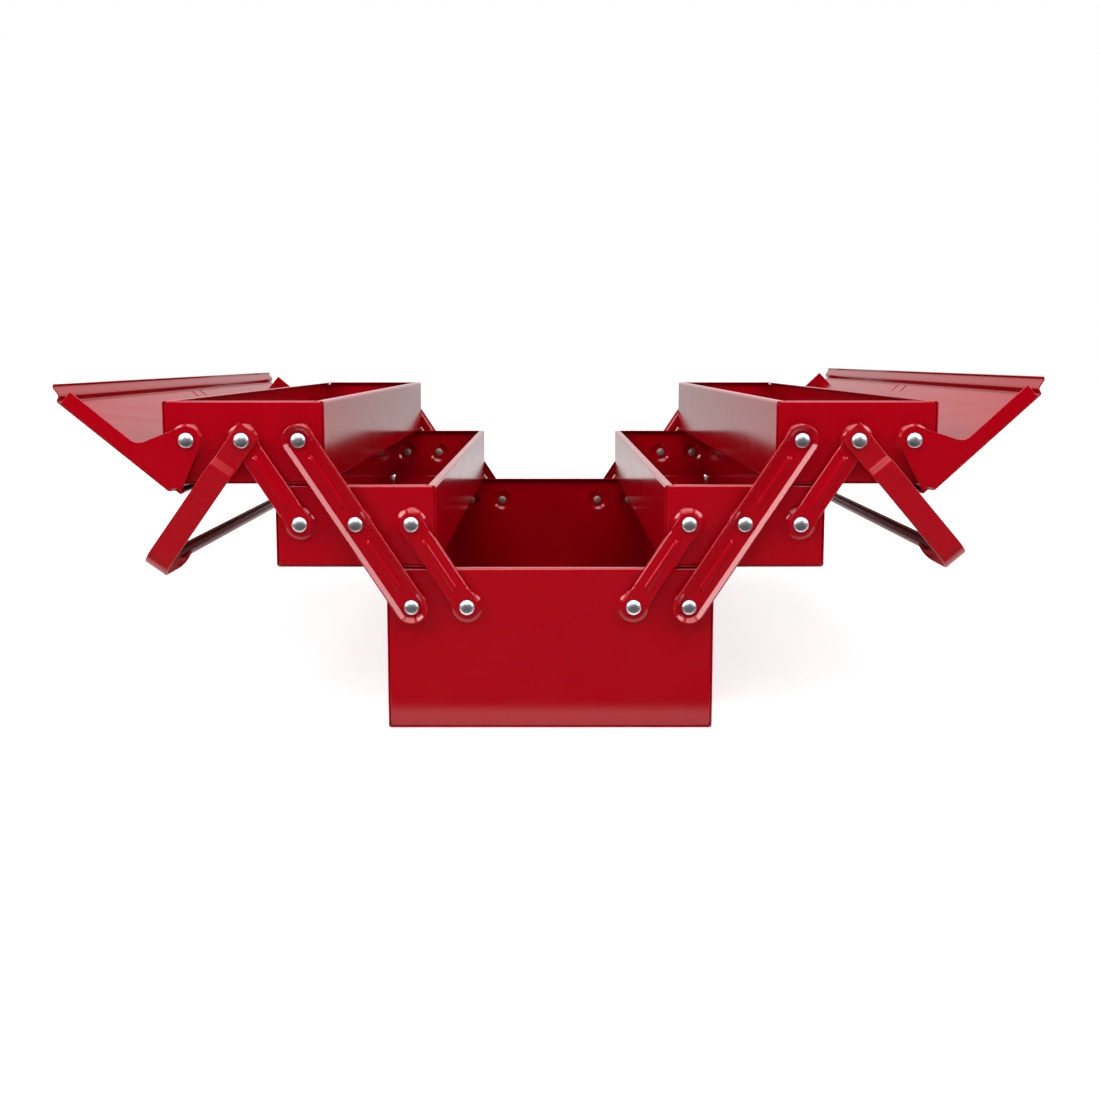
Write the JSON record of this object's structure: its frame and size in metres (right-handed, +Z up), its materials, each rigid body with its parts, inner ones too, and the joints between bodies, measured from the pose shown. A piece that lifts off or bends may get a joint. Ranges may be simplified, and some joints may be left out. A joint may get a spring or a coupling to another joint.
{
  "type": "cantilever tool box",
  "caption": "Sheet-steel cantilever tool box whose trays fold out sideways on riveted arms, with two hinged lids and two bail handles, shown open.",
  "frame": {"origin": "on the floor under the middle of the bottom box", "axes": "+X across the box to the right as seen from its near end, +Y along its length away from that end, +Z up"},
  "size_m": [0.5928, 0.546, 0.2169],
  "materials": {
    "box_paint": "gloss red powder coat",
    "lid_paint": "gloss red powder coat",
    "arm_paint": "gloss red powder coat",
    "handle_paint": "gloss red powder coat",
    "zinc_rivet": "bright zinc plate"
  },
  "bodies": {
    "bottom_box": {"bottom_box_trough": "box_paint", "bottom_box_front_panel": "box_paint", "bottom_box_rear_panel": "box_paint", "bottom_box_rivets": "zinc_rivet"},
    "left_middle_tray": {"left_middle_tray_trough": "box_paint", "left_middle_tray_front_panel": "box_paint", "left_middle_tray_rear_panel": "box_paint", "left_middle_tray_rivets": "zinc_rivet"},
    "left_top_tray": {"left_top_tray_trough": "box_paint", "left_top_tray_front_panel": "box_paint", "left_top_tray_rear_panel": "box_paint", "left_top_tray_rivets": "zinc_rivet"},
    "left_lid": {"left_lid_panel": "lid_paint", "left_lid_front_ear": "lid_paint", "left_lid_rear_ear": "lid_paint"},
    "left_handle": {"left_handle": "handle_paint"},
    "left_front_long_arm": {"left_front_long_arm": "arm_paint"},
    "left_rear_long_arm": {"left_rear_long_arm": "arm_paint"},
    "left_front_lower_arm": {"left_front_lower_arm": "arm_paint"},
    "left_rear_lower_arm": {"left_rear_lower_arm": "arm_paint"},
    "left_front_upper_arm": {"left_front_upper_arm": "arm_paint"},
    "left_rear_upper_arm": {"left_rear_upper_arm": "arm_paint"},
    "right_middle_tray": {"right_middle_tray_trough": "box_paint", "right_middle_tray_front_panel": "box_paint", "right_middle_tray_rear_panel": "box_paint", "right_middle_tray_rivets": "zinc_rivet"},
    "right_top_tray": {"right_top_tray_trough": "box_paint", "right_top_tray_front_panel": "box_paint", "right_top_tray_rear_panel": "box_paint", "right_top_tray_rivets": "zinc_rivet"},
    "right_lid": {"right_lid_panel": "lid_paint", "right_lid_front_ear": "lid_paint", "right_lid_rear_ear": "lid_paint"},
    "right_handle": {"right_handle": "handle_paint"},
    "right_front_long_arm": {"right_front_long_arm": "arm_paint"},
    "right_rear_long_arm": {"right_rear_long_arm": "arm_paint"},
    "right_front_lower_arm": {"right_front_lower_arm": "arm_paint"},
    "right_rear_lower_arm": {"right_rear_lower_arm": "arm_paint"},
    "right_front_upper_arm": {"right_front_upper_arm": "arm_paint"},
    "right_rear_upper_arm": {"right_rear_upper_arm": "arm_paint"}
  },
  "joints": [
    {"name": "left_fold", "type": "hinge", "parent": "bottom_box", "child": "left_front_long_arm", "pos_m": [-0.0845, 0, 0.0765], "axis": [0, 1, 0], "range_deg": [0, 66.44]},
    {"name": "left_rear_long_arm_pivot", "type": "hinge", "parent": "bottom_box", "child": "left_rear_long_arm", "pos_m": [-0.0845, 0, 0.0765], "axis": [0, 1, 0], "range_deg": [0, 66.45]},
    {"name": "left_middle_tray_pivot", "type": "hinge", "parent": "left_front_long_arm", "child": "left_middle_tray", "pos_m": [-0.1179, 0, 0.1275], "axis": [0, 1, 0], "range_deg": [-66.45, 0]},
    {"name": "left_top_tray_pivot", "type": "hinge", "parent": "left_front_long_arm", "child": "left_top_tray", "pos_m": [-0.1513, 0, 0.1785], "axis": [0, 1, 0], "range_deg": [-66.45, 0]},
    {"name": "left_front_lower_arm_pivot", "type": "hinge", "parent": "bottom_box", "child": "left_front_lower_arm", "pos_m": [-0.0508, 0, 0.0765], "axis": [0, 1, 0], "range_deg": [0, 66.45]},
    {"name": "left_front_upper_arm_pivot", "type": "hinge", "parent": "left_middle_tray", "child": "left_front_upper_arm", "pos_m": [-0.1516, 0, 0.1275], "axis": [0, 1, 0], "range_deg": [0, 66.45]},
    {"name": "left_rear_lower_arm_pivot", "type": "hinge", "parent": "bottom_box", "child": "left_rear_lower_arm", "pos_m": [-0.0508, 0, 0.0765], "axis": [0, 1, 0], "range_deg": [0, 66.45]},
    {"name": "left_rear_upper_arm_pivot", "type": "hinge", "parent": "left_middle_tray", "child": "left_rear_upper_arm", "pos_m": [-0.1516, 0, 0.1275], "axis": [0, 1, 0], "range_deg": [0, 66.45]},
    {"name": "left_lid_hinge", "type": "hinge", "parent": "left_top_tray", "child": "left_lid", "pos_m": [-0.2187, 0, 0.1785], "axis": [0, 1, 0], "range_deg": [0, 140.41]},
    {"name": "left_handle_hinge", "type": "hinge", "parent": "left_top_tray", "child": "left_handle", "pos_m": [-0.185, 0, 0.1785], "axis": [0, 1, 0], "range_deg": [0, 170.61]},
    {"name": "right_fold", "type": "hinge", "parent": "bottom_box", "child": "right_front_long_arm", "pos_m": [0.0845, 0, 0.0765], "axis": [0, -1, 0], "range_deg": [0, 66.44]},
    {"name": "right_rear_long_arm_pivot", "type": "hinge", "parent": "bottom_box", "child": "right_rear_long_arm", "pos_m": [0.0845, 0, 0.0765], "axis": [0, -1, 0], "range_deg": [0, 66.45]},
    {"name": "right_middle_tray_pivot", "type": "hinge", "parent": "right_front_long_arm", "child": "right_middle_tray", "pos_m": [0.1179, 0, 0.1275], "axis": [0, -1, 0], "range_deg": [-66.45, 0]},
    {"name": "right_top_tray_pivot", "type": "hinge", "parent": "right_front_long_arm", "child": "right_top_tray", "pos_m": [0.1513, 0, 0.1785], "axis": [0, -1, 0], "range_deg": [-66.45, 0]},
    {"name": "right_front_lower_arm_pivot", "type": "hinge", "parent": "bottom_box", "child": "right_front_lower_arm", "pos_m": [0.0508, 0, 0.0765], "axis": [0, -1, 0], "range_deg": [0, 66.45]},
    {"name": "right_front_upper_arm_pivot", "type": "hinge", "parent": "right_middle_tray", "child": "right_front_upper_arm", "pos_m": [0.1516, 0, 0.1275], "axis": [0, -1, 0], "range_deg": [0, 66.45]},
    {"name": "right_rear_lower_arm_pivot", "type": "hinge", "parent": "bottom_box", "child": "right_rear_lower_arm", "pos_m": [0.0508, 0, 0.0765], "axis": [0, -1, 0], "range_deg": [0, 66.45]},
    {"name": "right_rear_upper_arm_pivot", "type": "hinge", "parent": "right_middle_tray", "child": "right_rear_upper_arm", "pos_m": [0.1516, 0, 0.1275], "axis": [0, -1, 0], "range_deg": [0, 66.45]},
    {"name": "right_lid_hinge", "type": "hinge", "parent": "right_top_tray", "child": "right_lid", "pos_m": [0.2187, 0, 0.1785], "axis": [0, -1, 0], "range_deg": [0, 137.01]},
    {"name": "right_handle_hinge", "type": "hinge", "parent": "right_top_tray", "child": "right_handle", "pos_m": [0.185, 0, 0.1785], "axis": [0, -1, 0], "range_deg": [0, 165.61]}
  ],
  "couplings": [
    {"joint": "left_rear_long_arm_pivot", "follows": "left_fold", "ratio": 1},
    {"joint": "left_middle_tray_pivot", "follows": "left_fold", "ratio": -1},
    {"joint": "left_top_tray_pivot", "follows": "left_fold", "ratio": -1},
    {"joint": "left_front_lower_arm_pivot", "follows": "left_fold", "ratio": 1},
    {"joint": "left_front_upper_arm_pivot", "follows": "left_fold", "ratio": 1},
    {"joint": "left_rear_lower_arm_pivot", "follows": "left_fold", "ratio": 1},
    {"joint": "left_rear_upper_arm_pivot", "follows": "left_fold", "ratio": 1},
    {"joint": "left_lid_hinge", "follows": "left_fold", "ratio": 2.1131},
    {"joint": "left_handle_hinge", "follows": "left_fold", "ratio": 2.5677},
    {"joint": "right_rear_long_arm_pivot", "follows": "right_fold", "ratio": 1},
    {"joint": "right_middle_tray_pivot", "follows": "right_fold", "ratio": -1},
    {"joint": "right_top_tray_pivot", "follows": "right_fold", "ratio": -1},
    {"joint": "right_front_lower_arm_pivot", "follows": "right_fold", "ratio": 1},
    {"joint": "right_front_upper_arm_pivot", "follows": "right_fold", "ratio": 1},
    {"joint": "right_rear_lower_arm_pivot", "follows": "right_fold", "ratio": 1},
    {"joint": "right_rear_upper_arm_pivot", "follows": "right_fold", "ratio": 1},
    {"joint": "right_lid_hinge", "follows": "right_fold", "ratio": 2.0619},
    {"joint": "right_handle_hinge", "follows": "right_fold", "ratio": 2.4924}
  ]
}
